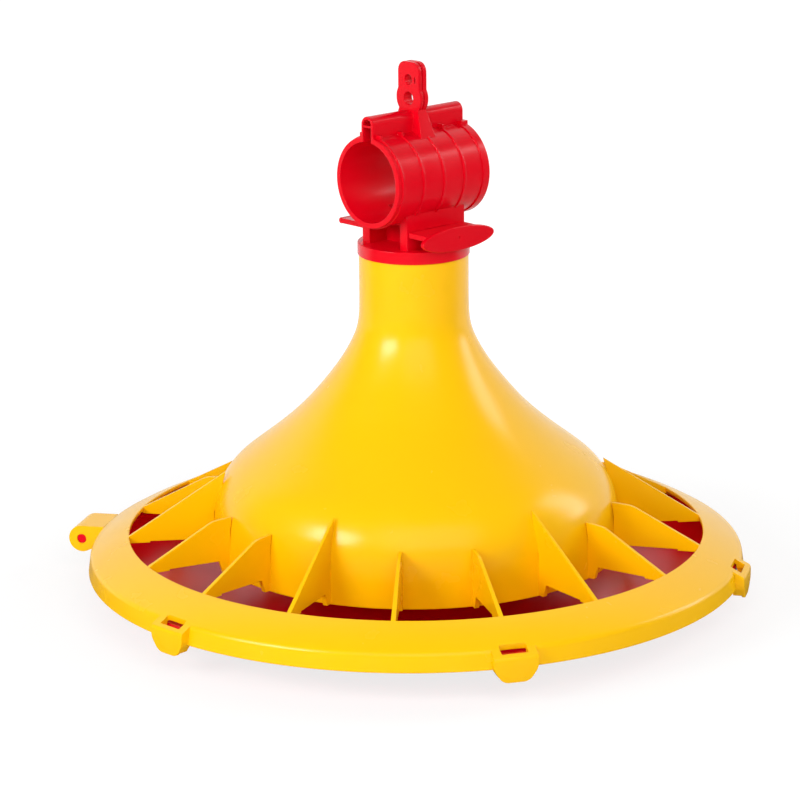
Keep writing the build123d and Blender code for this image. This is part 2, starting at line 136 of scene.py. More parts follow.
class FeederSlideSizes(bpy.types.PropertyGroup):
    thick: length("Slide thickness", "Thickness of the slide and of the rear rest", 3.0)
    low_z: length("Slide height", "Height of the slide's lower face", 218.0)
    half_x: length("Slide half width", "Half width of the slide's head", 21.4)
    stem_x: length("Stem half width", "Half width of the slide's stem", 7.9)
    wing: length("Head length", "Length of the slide's head in front of the block", 13.3)
    leaf_long: length("Leaf length", "Length of the finger leaf", 55.0)
    leaf_high: length("Leaf height", "Height of the finger leaf", 13.6)
    leaf_thick: length("Leaf thickness", "Thickness of the finger leaf", 2.6)
    leaf_shift: length("Leaf shift", "How far the leaf's middle lies off the slide's", 2.5)
    tab_long: length("Rest length", "Length of the fixed rest behind the block", 20.9)


class FeederPanSizes(bpy.types.PropertyGroup):
    pan_r: length("Pan radius", "Outer radius of the pan's rim", 186.0)
    base_r: length("Base radius", "Outer radius of the flat base", 118.0)
    wall: length("Pan wall", "Wall thickness of the pan", 2.5)
    rim_low_z: length("Rim foot height", "Height where the rim starts", 21.2)
    rim_top_z: length("Rim top height", "Height of the rim's upper edge", 26.8)
    cone_r: length("Cone radius", "Foot radius of the spreading cone", 58.0)
    cone_top_z: length("Cone height", "Height of the spreading cone", 46.0)


class FeederFinish(bpy.types.PropertyGroup):
    yellow: finish_colour("Yellow", "Colour of the grille, sRGB hex", "FFC402")
    red: finish_colour("Red", "Colour of tee, slide and pan, sRGB hex", "E4001A")
    peel: length("Surface ripple", "Width of the faint ripple of the moulded skin", 3.0)
    edge: length("Edge softness", "Radius that edges are seen with", 0.45)


def in_mm(group):
    """The values of a property group, lengths in millimetres."""
    values = {}
    for prop in group.bl_rna.properties:
        if prop.identifier in ("name", "rna_type"):
            continue
        value = getattr(group, prop.identifier)
        if getattr(prop, "unit", "") == "LENGTH":
            value = value / MM
        values[prop.identifier] = value
    return SimpleNamespace(**values)


def shape_from(bm, name):
    """Object in millimetres made of a bmesh, for cutting and joining."""
    bmesh.ops.recalc_face_normals(bm, faces=bm.faces[:])
    mesh = bpy.data.meshes.new(name)
    bm.to_mesh(mesh)
    bm.free()
    shape = bpy.data.objects.new(name, mesh)
    bpy.context.scene.collection.objects.link(shape)
    return shape


def turned_about_z(shape, angle):
    """Turns a shape's mesh about the drop axis."""
    shape.data.transform(Matrix.Rotation(angle, 4, "Z"))
    return shape


def copies_about_z(shape, angles):
    """Copies of a shape at several angles; the given shape is used up."""
    made = []
    for angle in angles:
        mesh = shape.data.copy()
        mesh.transform(Matrix.Rotation(angle, 4, "Z"))
        copy = bpy.data.objects.new(shape.name, mesh)
        bpy.context.scene.collection.objects.link(copy)
        made.append(copy)
    bpy.data.objects.remove(shape)
    return made


def joined(base, others, operation="UNION"):
    """One exact boolean of a shape with several others, which are used up."""
    group = bpy.data.collections.new("operands")
    for other in others:
        group.objects.link(other)
    step = base.modifiers.new("step", "BOOLEAN")
    step.operation = operation
    step.solver = "EXACT"
    step.operand_type = "COLLECTION"
    step.collection = group
    graph = bpy.context.evaluated_depsgraph_get()
    mesh = bpy.data.meshes.new_from_object(base.evaluated_get(graph))
    base.modifiers.clear()
    base.data = mesh
    for other in others:
        bpy.data.objects.remove(other)
    bpy.data.collections.remove(group)
    return base


def drawn(points, corners=None, plane="XZ"):
    """Flat face from a few corner points, some of them rounded.

    corners maps a point's number to the radius of its corner.
    """
    bm = bmesh.new()
    spots = {"XZ": lambda a, b: (a, 0, b), "YZ": lambda a, b: (0, a, b),
             "XY": lambda a, b: (a, b, 0)}[plane]
    verts = [bm.verts.new(spots(a, b)) for a, b in points]
    bm.faces.new(verts)
    for number, radius in (corners or {}).items():
        bmesh.ops.bevel(bm, geom=[verts[number]], offset=radius, offset_type="OFFSET",
                        segments=5, profile=0.5, affect="VERTICES", material=-1,
                        clamp_overlap=True)
    return bm


def revolved(points, corners=None, steps=240):
    """Body turned about the drop axis from a closed outline of radius and height."""
    bm = drawn(points, corners)
    bmesh.ops.delete(bm, geom=bm.faces[:], context="FACES_ONLY")
    bmesh.ops.spin(bm, geom=bm.verts[:] + bm.edges[:], cent=(0, 0, 0), axis=(0, 0, 1),
                   angle=math.tau, steps=steps, use_merge=True)
    bmesh.ops.remove_doubles(bm, verts=bm.verts[:], dist=0.0005)
    return bm


def soften(bm, radius, segments=2, least=30.0):
    """Bevels the edges of a bmesh that are sharper than an angle."""
    bm.normal_update()
    sharp = [e for e in bm.edges
             if len(e.link_faces) == 2 and e.calc_face_angle(0) > math.radians(least)]
    bmesh.ops.bevel(bm, geom=sharp, offset=radius, offset_type="OFFSET", segments=segments,
                    profile=0.5, affect="EDGES", material=-1, clamp_overlap=True)
    return bm


def run(bm, low, high, axis):
    """Gives a drawn face its thickness between two planes along an axis."""
    along = Vector(axis)
    bmesh.ops.translate(bm, verts=bm.verts[:], vec=along * low)
    made = bmesh.ops.extrude_face_region(bm, geom=bm.faces[:])
    moved = [v for v in made["geom"] if isinstance(v, bmesh.types.BMVert)]
    bmesh.ops.translate(bm, verts=moved, vec=along * (high - low))
    bmesh.ops.recalc_face_normals(bm, faces=bm.faces[:])
    return bm


def slab(x, y, z, soft=0.0):
    """Box between pairs of planes, its edges softened."""
    bm = bmesh.new()
    bmesh.ops.create_cube(bm, size=1.0)
    bmesh.ops.scale(bm, verts=bm.verts[:], vec=(x[1] - x[0], y[1] - y[0], z[1] - z[0]))
    middle = ((x[0] + x[1]) / 2, (y[0] + y[1]) / 2, (z[0] + z[1]) / 2)
    bmesh.ops.translate(bm, verts=bm.verts[:], vec=middle)
    if soft:
        soften(bm, soft)
    return bm


def round_bar(radius, low, high, axis, centre, soft=0.0, segments=96):
    """Cylinder along X, Y or Z with softened rims."""
    bm = bmesh.new()
    bmesh.ops.create_cone(bm, cap_ends=True, segments=segments, radius1=radius,
                          radius2=radius, depth=high - low)
    if soft:
        soften(bm, soft, least=60)
    turns = {"X": Matrix.Rotation(math.pi / 2, 4, "Y"),
             "Y": Matrix.Rotation(-math.pi / 2, 4, "X"), "Z": Matrix.Identity(4)}
    shift = {"X": Vector((1, 0, 0)), "Y": Vector((0, 1, 0)), "Z": Vector((0, 0, 1))}
    bmesh.ops.transform(bm, matrix=turns[axis], verts=bm.verts[:])
    place = Vector(centre) + shift[axis] * (low + high) / 2
    bmesh.ops.translate(bm, verts=bm.verts[:], vec=place)
    return bm


def tapered(half_low, half_high, z, soft=0.0):
    """Block whose top is narrower than its foot."""
    bm = slab((-half_low[0], half_low[0]), (-half_low[1], half_low[1]), z)
    top = [v for v in bm.verts if v.co.z > (z[0] + z[1]) / 2]
    share = (half_high[0] / half_low[0], half_high[1] / half_low[1], 1.0)
    bmesh.ops.scale(bm, verts=top, vec=share)
    if soft:
        soften(bm, soft)
    return bm


def finished(shape, name, body, nodes, material, angle=32.0, weighted=True):
    """Turns a shape into a finished piece: metres, shading, body and finish."""
    shape.name = name
    shape.data.name = name
    shape.data.transform(Matrix.Scale(MM, 4))
    bm = bmesh.new()
    bm.from_mesh(shape.data)
    bmesh.ops.remove_doubles(bm, verts=bm.verts[:], dist=1e-7)
    bm.to_mesh(shape.data)
    bm.free()
    shape.data.shade_smooth()
    shape.data.set_sharp_from_angle(angle=math.radians(angle))
    if weighted:
        weigh = shape.modifiers.new("Even shading", "WEIGHTED_NORMAL")
        weigh.keep_sharp = True
        weigh.weight = 60
    shape.data.materials.clear()
    shape.data.materials.append(material)
    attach(shape, body)
    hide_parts(*nodes)
    return shape


def linear(hex_word):
    """Linear RGBA of an sRGB hex word."""
    parts = [int(hex_word[i:i + 2], 16) / 255 for i in (0, 2, 4)]
    return tuple(c / 12.92 if c <= 0.04045 else ((c + 0.055) / 1.055) ** 2.4
                 for c in parts) + (1.0,)


def add(tree, kind, settings=None, inputs=None):
    """Adds a node; inputs holds values, or sockets of other nodes to link from."""
    item = tree.nodes.new(kind)
    for key, value in (settings or {}).items():
        setattr(item, key, value)
    for key, value in (inputs or {}).items():
        if isinstance(value, bpy.types.NodeSocket):
            tree.links.new(value, item.inputs[key])
        else:
            item.inputs[key].default_value = value
    return item


def moulded_polypropylene(name, hex_word, shade_hex, peel, edge, sheen_rough):
    """Glossy injection-moulded polypropylene.

    The dye runs through the plastic, so the colour is even, with only a slow drift of
    depth where the melt was thicker. The polished mould leaves a gloss that is broken
    by a faint ripple, which softens the edges of every reflection.
    """
    made = bpy.data.materials.get(name)
    if made:
        return made
    made = bpy.data.materials.new(name)
    made.use_nodes = True
    tree = made.node_tree
    tree.nodes.clear()
    place = add(tree, "ShaderNodeTexCoord").outputs["Object"]
    # slow drift of the colour, one change in about 60 mm
    drift = add(tree, "ShaderNodeTexNoise", {"noise_dimensions": "3D"},
                {"Vector": place, "Scale": 1 / 0.06, "Detail": 2.0, "Roughness": 0.4})
    depth = add(tree, "ShaderNodeMapRange", None,
                {"Value": drift.outputs["Fac"], "From Min": 0.3, "From Max": 0.7,
                 "To Min": 0.0, "To Max": 0.35})
    colour = add(tree, "ShaderNodeMix", {"data_type": "RGBA"},
                 {0: depth.outputs["Result"], 6: linear(hex_word), 7: linear(shade_hex)})
    # gloss varies a little with how the skin froze, one change in about 20 mm
    skin = add(tree, "ShaderNodeTexNoise", {"noise_dimensions": "3D"},
               {"Vector": place, "Scale": 1 / 0.02, "Detail": 3.0, "Roughness": 0.5})
    rough = add(tree, "ShaderNodeMapRange", None,
                {"Value": skin.outputs["Fac"], "From Min": 0.3, "From Max": 0.7,
                 "To Min": sheen_rough - 0.03, "To Max": sheen_rough + 0.04})
    ripple = add(tree, "ShaderNodeTexNoise", {"noise_dimensions": "3D"},
                 {"Vector": place, "Scale": 1 / peel, "Detail": 1.0, "Roughness": 0.4})
    rounded = add(tree, "ShaderNodeBevel", {"samples": 4}, {"Radius": edge})
    # the ripple is 0.01 mm deep
    bump = add(tree, "ShaderNodeBump", None,
               {"Height": ripple.outputs["Fac"], "Strength": 0.25, "Distance": 0.00003,
                "Normal": rounded.outputs["Normal"]})
    shader = add(tree, "ShaderNodeBsdfPrincipled", None,
                 {"Base Color": colour.outputs[2], "Roughness": rough.outputs["Result"],
                  "IOR": 1.49, "Metallic": 0.0, "Specular IOR Level": 0.35,
                  "Normal": bump.outputs["Normal"]})
    add(tree, "ShaderNodeOutputMaterial", None, {"Surface": shader.outputs["BSDF"]})
    return made


def yellow_plastic():
    """Warm yellow polypropylene of the grille."""
    look = bpy.context.scene.feeder_finish
    return moulded_polypropylene("moulded_polypropylene_yellow", look.yellow, "FDBC00",
                                 look.peel, look.edge, 0.24)


def red_plastic():
    """Signal red polypropylene of tee, slide and pan."""
    look = bpy.context.scene.feeder_finish
    return moulded_polypropylene("moulded_polypropylene_red", look.red, "D80016",
                                 look.peel, look.edge, 0.22)


BELL_CURVE = [
    (0.0, 1.0), (0.012, 0.93), (0.039, 0.87), (0.097, 0.787), (0.179, 0.696),
    (0.273, 0.609), (0.372, 0.522), (0.495, 0.435), (0.636, 0.348),
    (0.770, 0.274), (0.870, 0.213), (0.940, 0.143), (0.984, 0.070), (1.0, 0.0),
]
LATCHES = (0, 60, 180, 240, 300)
HINGE = 120


def ring_top(s, r):
    """Height of the ring's upper slope at a radius, without its crown."""
    crease_r = s.ring_r - s.crease_in
    share = (r - s.ring_in_r) / (crease_r - s.ring_in_r)
    return s.ring_in_z + share * (s.crease_z - s.ring_in_z)


class FEEDER_OT_cone_bell(bpy.types.Operator):
    """Neck, bell and drum wall of the grille"""
    bl_idname = "feeder.cone_bell"
    bl_label = "Cone bell"

    def execute(self, context):
        s = in_mm(context.scene.feeder_grille)
        reach = s.wall_r - s.neck_r
        rise = s.neck_foot_z - s.shoulder_z
        curve = [(s.neck_r, s.neck_top_z), (s.neck_r, s.neck_top_z - 1.2),
                 (s.neck_r, (s.neck_top_z + s.neck_foot_z) / 2)]
        curve += [(s.neck_r + reach * a, s.shoulder_z + rise * b) for a, b in BELL_CURVE]
        curve += [((s.wall_r + s.foot_r) / 2, (s.shoulder_z + s.foot_z) / 2),
                  (s.foot_r, s.foot_z + 1.2), (s.foot_r, s.foot_z)]
        bm = bmesh.new()
        verts = [bm.verts.new((r, 0, z)) for r, z in curve]
        for upper, lower in zip(verts, verts[1:]):
            bm.edges.new((upper, lower))
        bmesh.ops.spin(bm, geom=bm.verts[:] + bm.edges[:], cent=(0, 0, 0), axis=(0, 0, 1),
                       angle=math.tau, steps=96, use_merge=True)
        bmesh.ops.recalc_face_normals(bm, faces=bm.faces[:])
        bm.normal_update()
        side = next(f for f in bm.faces if f.calc_center_median().z > s.neck_top_z - 1)
        if side.normal.dot(side.calc_center_median() * Vector((1, 1, 0))) < 0:
            bmesh.ops.reverse_faces(bm, faces=bm.faces[:])
        mesh = bpy.data.meshes.new("cone_bell")
        bm.to_mesh(mesh)
        bm.free()
        shape = bpy.data.objects.new("cone_bell", mesh)
        context.scene.collection.objects.link(shape)
        finished(shape, "cone_bell", FEEDER, ["cone_grille"],
                 yellow_plastic(), angle=80, weighted=False)
        wall = shape.modifiers.new("Wall", "SOLIDIFY")
        wall.thickness = s.wall * MM
        wall.offset = -1.0
        wall.use_even_offset = True
        wall.edge_crease_rim = 0.6
        wall.edge_crease_outer = 0.6
        wall.edge_crease_inner = 0.6
        smooth = shape.modifiers.new("Smooth", "SUBSURF")
        smooth.levels = 2
        smooth.render_levels = 2
        return {"FINISHED"}


class FEEDER_OT_grille_fins(bpy.types.Operator):
    """Drafted fins between drum and ring, every third one tall"""
    bl_idname = "feeder.grille_fins"
    bl_label = "Grille fins"

    def fin(self, s, tall):
        """One fin in the XZ plane, thinner towards its top."""
        rise = s.fin_tall if tall else s.fin_short
        root = s.wall_r - (7.0 if tall else 1.2)
        in_r = s.ring_in_r
        end_r = in_r + 1.0
        lip_r = in_r - 12.0
        points = [(root, rise)]
        if not tall:
            points += [(s.wall_r, rise), (s.wall_r + 10.5, rise - 1.0)]
        points += [(in_r, s.ring_in_z - 0.1), (end_r, ring_top(s, end_r) - 0.4),
                   (end_r, s.fin_low_z - 0.9), (lip_r, s.fin_low_z - 0.9),
                   (lip_r, s.fin_low_z), (s.foot_r + 6.0, s.fin_low_z),
                   (s.foot_r + 3.6, s.foot_z + 0.2), (s.foot_r - 1.25, s.foot_z + 0.2),
                   (s.foot_r - 1.25, s.shoulder_z)]
        if tall:
            points += [(s.wall_r - 1.25, s.shoulder_z)]
        corners = {2: 2.5} if not tall else {}
        bm = run(drawn(points, corners), -s.fin_foot / 2, s.fin_foot / 2, (0, 1, 0))
        for v in bm.verts:
            share = (v.co.z - s.foot_z) / (s.fin_tall - s.foot_z)
            v.co.y *= 1 + share * (s.fin_top / s.fin_foot - 1)
        return soften(bm, 0.35, 2, 40)

    def execute(self, context):
        s = in_mm(context.scene.feeder_grille)
        whole = bmesh.new()
        for k in range(s.fin_count):
            one = self.fin(s, k % 3 == 1)
            angle = s.turned + k * math.tau / s.fin_count
            bmesh.ops.rotate(one, verts=one.verts[:], cent=(0, 0, 0),
                             matrix=Matrix.Rotation(angle, 3, "Z"))
            mesh = bpy.data.meshes.new("fin")
            one.to_mesh(mesh)
            one.free()
            whole.from_mesh(mesh)
            bpy.data.meshes.remove(mesh)
        finished(shape_from(whole, "grille_fins"), "grille_fins", FEEDER, ["cone_grille"],
                 yellow_plastic())
        return {"FINISHED"}


class FEEDER_OT_rim_ring(bpy.types.Operator):
    """Sloping rim ring with its skirt, latch lugs and hinge housing"""
    bl_idname = "feeder.rim_ring"
    bl_label = "Rim ring"

    def ring(self, s):
        """Ring section turned about the drop axis."""
        crease_r = s.ring_r - s.crease_in
        inside_r = crease_r - 2.0
        skin = 2.8
        stops = [i / 6 for i in range(7)]
        top = []
        for t in stops:
            r = s.ring_in_r + t * (crease_r - s.ring_in_r)
            top.append((r, ring_top(s, r) + s.crown * 4 * t * (1 - t)))
        under = []
        for t in reversed(stops):
            r = s.ring_in_r + t * (inside_r - s.ring_in_r)
            under.append((r, ring_top(s, r) + s.crown * 4 * t * (1 - t) - skin))
        points = top + [(s.ring_r, s.skirt_z), (s.ring_r - 2.5, s.skirt_z)] + under
        corners = {0: 1.0, 6: 1.8, 7: 0.7, 8: 0.7, len(points) - 1: 1.0}
        return shape_from(revolved(points, corners, 288), "ring")

    def lug(self, s):
        """Outer form of one latch lug, on the +X side."""
        top = s.crease_z - s.skirt_z + 4
        outline = [(-12.4, top), (-12.4, 1.0), (-7.4, -s.lug_drop), (7.4, -s.lug_drop),
                   (12.4, 1.0), (12.4, top)]
        bm = drawn(outline, {1: 2.5, 2: 3.0, 3: 3.0, 4: 2.5}, "YZ")
        bmesh.ops.translate(bm, verts=bm.verts[:], vec=(0, 0, s.skirt_z))
        lump = shape_from(run(bm, s.ring_r - 10, s.ring_r + s.lug_out + 5, (1, 0, 0)), "lug")
        out = s.ring_r + s.lug_out
        inner = s.ring_r - 2.5
        low = s.skirt_z - s.lug_drop - 1
        gate = revolved([
            (inner, low), (out - 0.8, low), (out, s.skirt_z), (out, ring_top(s, out) - 0.6),
            (out - 0.8, ring_top(s, out - 0.8)), (inner, ring_top(s, inner))],
            {3: 1.2, 4: 0.6}, 288)
        lump = joined(lump, [shape_from(gate, "gate")], "INTERSECT")
        bm = bmesh.new()
        bm.from_mesh(lump.data)
        rim = []
        bm.normal_update()
        for e in bm.edges:
            middle = (e.verts[0].co + e.verts[1].co) / 2
            if (len(e.link_faces) == 2 and e.calc_face_angle(0) > math.radians(50)
                    and math.hypot(middle.x, middle.y) > out - 1.5):
                rim.append(e)
        bmesh.ops.bevel(bm, geom=rim, offset=0.9, offset_type="OFFSET", segments=3,
                        profile=0.5, affect="EDGES", material=-1, clamp_overlap=True)
        bm.to_mesh(lump.data)
        bm.free()
        return lump

    def lug_room(self, s):
        """Pocket and window of one latch lug."""
        out = s.ring_r + s.lug_out - 2.2
        inside_r = s.ring_r - s.crease_in - 2.0
        pocket = shape_from(revolved([
            (inside_r, s.skirt_z - s.lug_drop - 2), (out, s.skirt_z - s.lug_drop - 2),
            (out, ring_top(s, out) - 2.2), (inside_r, ring_top(s, out) - 2.2)], {}, 288),
            "pocket")
        sides = shape_from(slab((inside_r - 5, out + 5), (-8.6, 8.6),
                                (s.skirt_z - 20, s.skirt_z + 20)), "sides")
        pocket = joined(pocket, [sides], "INTERSECT")
        window = slab((s.ring_r - 4.6, s.ring_r + 1.4), (-7.5, 7.5),
                      (s.skirt_z + 3, s.skirt_z + 20), 0.6)
        return joined(pocket, [shape_from(window, "window")])

    def housing(self, s):
        """Outer form of the hinge housing, on the +X side."""
        z = s.hinge_z
        inner = s.ring_r - 2.5
        outline = [(inner, s.skirt_z), (inner, z + s.hump_r + 0.3),
                   (s.hinge_r, z + s.hump_r), (s.hinge_r - 2.5, z - s.hump_r + 0.4)]
        web = shape_from(run(drawn(outline), -s.hump_half, s.hump_half, (0, 1, 0)), "web")
        barrel = round_bar(s.hump_r, -s.hump_half, s.hump_half, "Y", (s.hinge_r, 0, z))
        whole = joined(web, [shape_from(barrel, "barrel")])
        inside = round_bar(inner, s.skirt_z - 30, s.crease_z - 2, "Z", (0, 0, 0),
                           segments=288)
        return joined(whole, [shape_from(inside, "inside")], "DIFFERENCE")

    def housing_room(self, s):
        """Hollow of the hinge housing with its two pin holes."""
        half = s.hump_half - 2.3
        room_r = s.hump_r - 2.3
        z = s.hinge_z
        inside_r = s.ring_r - s.crease_in - 2.5
        room = shape_from(round_bar(room_r, -half, half, "Y", (s.hinge_r, 0, z)), "room")
        way = slab((inside_r, s.hinge_r), (-half, half), (s.skirt_z - 20, z + room_r))
        swing = slab((s.hinge_r - 1, s.hinge_r + 3.6), (-half, half), (s.skirt_z - 20, z))
        hole = round_bar(2.88, -s.hump_half - 1, s.hump_half + 1, "Y", (s.hinge_r, 0, z),
                         segments=48)
        return joined(room, [shape_from(way, "way"), shape_from(swing, "swing"),
                             shape_from(hole, "hole")])

    def execute(self, context):
        s = in_mm(context.scene.feeder_grille)
        places = [s.turned + math.radians(a) for a in LATCHES]
        hinge_at = s.turned + math.radians(HINGE)
        whole = self.ring(s)
        whole = joined(whole, copies_about_z(self.lug(s), places))
        whole = joined(whole, [turned_about_z(self.housing(s), hinge_at)])
        whole = joined(whole, copies_about_z(self.lug_room(s), places), "DIFFERENCE")
        whole = joined(whole, [turned_about_z(self.housing_room(s), hinge_at)], "DIFFERENCE")
        finished(whole, "rim_ring", FEEDER, ["cone_grille"],
                 yellow_plastic())
        return {"FINISHED"}


class FEEDER_OT_pipe_tee(bpy.types.Operator):
    """Pipe socket with keel, hanger plate, neck block and collar"""
    bl_idname = "feeder.pipe_tee"
    bl_label = "Pipe tee"

    def socket(self, t):
        """Ribbed socket and the outside of its keel."""
        tube_r = t.bore_r + t.tube_wall
        z = t.axis_z
        centre = (0, 0, z)
        body = shape_from(round_bar(tube_r, -t.half, t.half, "X", centre, 0.4, 160), "tube")
        keel_half = t.keel_wide / 2
        top = z + tube_r + t.keel_rise
        keel = drawn([(-keel_half, z), (keel_half, z), (keel_half, top), (-keel_half, top)],
                     {2: keel_half - 0.05, 3: keel_half - 0.05}, "YZ")
        parts = [shape_from(soften(run(keel, -t.half, t.half, (1, 0, 0)), 0.4, 2, 60), "keel")]
        ribs = [(x - t.rib_wide / 2, x + t.rib_wide / 2)
                for x in (-t.rib_pitch, 0, t.rib_pitch)]
        ribs.append((t.half - t.band, t.half))
        ribs.append((2.4 - t.half, 2.4 + t.rib_wide - t.half))
        crest = tube_r + t.rib_proud
        for low, high in ribs:
            parts.append(shape_from(
                round_bar(crest, low, high, "X", centre, 0.35, 160), "rib"))
            peak = drawn([(-8.6, z + 18), (8.6, z + 18), (8.6, z + crest + t.rib_proud),
                          (-8.6, z + crest + t.rib_proud)], {2: 0.5, 3: 0.5}, "YZ")
            parts.append(shape_from(run(peak, low, high, (1, 0, 0)), "peak"))
        return joined(body, parts)

    def hanger(self, t):
        """Grooved hanger plate with its ear, standing on the saddle."""
        keel_top = t.axis_z + t.bore_r + t.tube_wall + t.keel_rise
        low_hole = keel_top + 6.3
        top_hole = keel_top + 16.9
        top = keel_top + t.hang_rise
        front = -t.hang_thick / 2
        tube_r = t.bore_r + t.tube_wall
        saddle = tapered((6.2, 14.6), (t.hang_thick / 2, t.hang_wide / 2 - 1),
                         (t.axis_z + 0.7 * tube_r, keel_top + 1.0), 0.35)
        whole = shape_from(saddle, "saddle")
        layers = [(front, front + 2.4, 0.0), (front + 2.2, front + 3.6, 1.0),
                  (front + 3.4, -front, 0.0)]
        plates = []
        for low, high, inset in layers:
            half = t.hang_wide / 2 - inset
            foot = t.hang_wide / 2 - 0.8 - inset
            ear = 1.15 * t.ear_r - inset
            side = [(foot, keel_top - 3), (foot, keel_top), (ear, low_hole),
                    (half, low_hole + 5.3), (half, top - inset)]
            points = side + [(-a, b) for a, b in reversed(side)]
            plate = drawn(points, {2: 5.2, 4: 5.5, 5: 5.5, 7: 5.2}, "YZ")
            plate = soften(run(plate, low, high, (1, 0, 0)), 0.3, 2, 60)
            plates.append(shape_from(plate, "plate"))
        whole = joined(whole, plates)
        reach = (-t.hang_thick, t.hang_thick)
        cuts = [round_bar(t.hole_low / 2, *reach, "X", (0, 0, low_hole), segments=48),
                round_bar(t.hole_top / 2, *reach, "X", (0, 0, top_hole), segments=48),
                slab(reach, (-5.7, -4.7), (top_hole - 1.7, top_hole + 1.7))]
        return joined(whole, [shape_from(c, "hole") for c in cuts], "DIFFERENCE")

    def neck_block(self, t, e):
        """Cheeks, core, collar, spigot and the rest behind the block."""
        top = t.axis_z - 8
        base = t.collar_z + t.collar_h
        inner = t.block_y - t.cheek
        collar = round_bar(t.collar_r, t.collar_z, base, "Z", (0, 0, 0), 0.6, 160)
        whole = shape_from(collar, "collar")
        x = (-t.block_x, t.block_x)
        low = base - 0.6
        parts = [slab(x, (inner, t.block_y), (low, top), 0.4),
                 slab(x, (-t.block_y, -inner), (low, top), 0.4),
                 slab((-t.core_x, t.core_x), (-inner - 1, inner + 1), (low, top)),
                 round_bar(28.55, t.collar_z - 18, t.collar_z + 1, "Z", (0, 0, 0), 0.3, 160)]
        end = t.block_y + e.tab_long
        parts.append(slab((-e.half_x, e.half_x), (t.block_y - 1, end - 1.75),
                          (e.low_z, e.low_z + e.thick), 0.3))
        parts.append(round_bar(1.75, -e.half_x, e.half_x, "X",
                               (0, end - 1.75, e.low_z + e.thick / 2), 0.4, 40))
        return joined(whole, [shape_from(p, "block") for p in parts])

    def hollows(self, t, e):
        """Bore, keel channel, chute, spigot bore and the slide's slot."""
        z = t.axis_z
        tube_r = t.bore_r + t.tube_wall
        slot = t.keel_wide / 2 - t.keel_wall
        arch = z + tube_r + t.keel_rise - t.keel_wall
        channel = drawn([(-slot, z), (slot, z), (slot, arch), (-slot, arch)],
                        {2: slot - 0.05, 3: slot - 0.05}, "YZ")
        reach = t.half + 1
        stem = e.stem_x + 0.1
        return [shape_from(b, "hollow") for b in (
            round_bar(t.bore_r, -reach, reach, "X", (0, 0, z), 0, 160),
            run(channel, -reach, reach, (1, 0, 0)),
            slab((-6.9, 6.9), (-13.4, 13.4), (t.collar_z - 1, z)),
            round_bar(26.05, t.collar_z - 19, t.collar_z, "Z", (0, 0, 0), 0, 128),
            slab((-stem, stem), (-t.block_y - 1, 14.4), (e.low_z - 0.1, e.low_z + e.thick + 0.1)))]

    def execute(self, context):
        t = in_mm(context.scene.feeder_tee)
        e = in_mm(context.scene.feeder_slide)
        whole = self.socket(t)
        whole = joined(whole, [self.neck_block(t, e), self.hanger(t)])
        whole = joined(whole, self.hollows(t, e), "DIFFERENCE")
        rise = t.axis_z + t.bore_r + t.tube_wall + 0.45 * t.keel_rise
        bar = slab((-t.half + 0.1, -t.half + 1.2), (-3.4, 3.4), (rise, rise + 1.2))
        whole = joined(whole, [shape_from(bar, "bar")])
        finished(whole, "pipe_socket_tee", FEEDER, ["pipe_tee"], red_plastic())
        return {"FINISHED"}


class FEEDER_OT_shutoff_slide(bpy.types.Operator):
    """Shut-off slide with its head and finger leaf"""
    bl_idname = "feeder.shutoff_slide"
    bl_label = "Shut-off slide"

    def execute(self, context):
        e = in_mm(context.scene.feeder_slide)
        t = in_mm(context.scene.feeder_tee)
        back = -(t.block_y + 0.3)
        leaf_in = back - e.wing
        top = e.low_z + e.thick
        head = shape_from(slab((-e.half_x, e.half_x), (leaf_in - 1, back), (e.low_z, top), 0.35),
                          "head")
        stem = shape_from(slab((-e.stem_x, e.stem_x), (back - 2, 14.0), (e.low_z, top), 0.3),
                          "stem")
        bm = bmesh.new()
        bmesh.ops.create_cone(bm, cap_ends=True, segments=128, radius1=1.0, radius2=1.0,
                              depth=e.leaf_thick)
        bmesh.ops.transform(bm, matrix=Matrix.Rotation(math.pi / 2, 4, "X"), verts=bm.verts[:])
        bmesh.ops.scale(bm, verts=bm.verts[:], vec=(e.leaf_long / 2, 1, e.leaf_high / 2))
        soften(bm, 0.6, 3, 60)
        bmesh.ops.translate(bm, verts=bm.verts[:], vec=(
            e.leaf_shift, leaf_in - e.leaf_thick / 2, e.low_z + e.thick / 2 - 3.0))
        whole = joined(head, [stem, shape_from(bm, "leaf")])
        dimple = round_bar(0.9, leaf_in - e.leaf_thick - 1, leaf_in - e.leaf_thick + 0.5, "Y",
                           (e.leaf_shift, 0, e.low_z + e.thick / 2 - 2.4), 0, 32)
        whole = joined(whole, [shape_from(dimple, "dimple")], "DIFFERENCE")
        finished(whole, "slide_with_leaf", SLIDE, ["shutoff_slide"],
                 red_plastic())
        return {"FINISHED"}


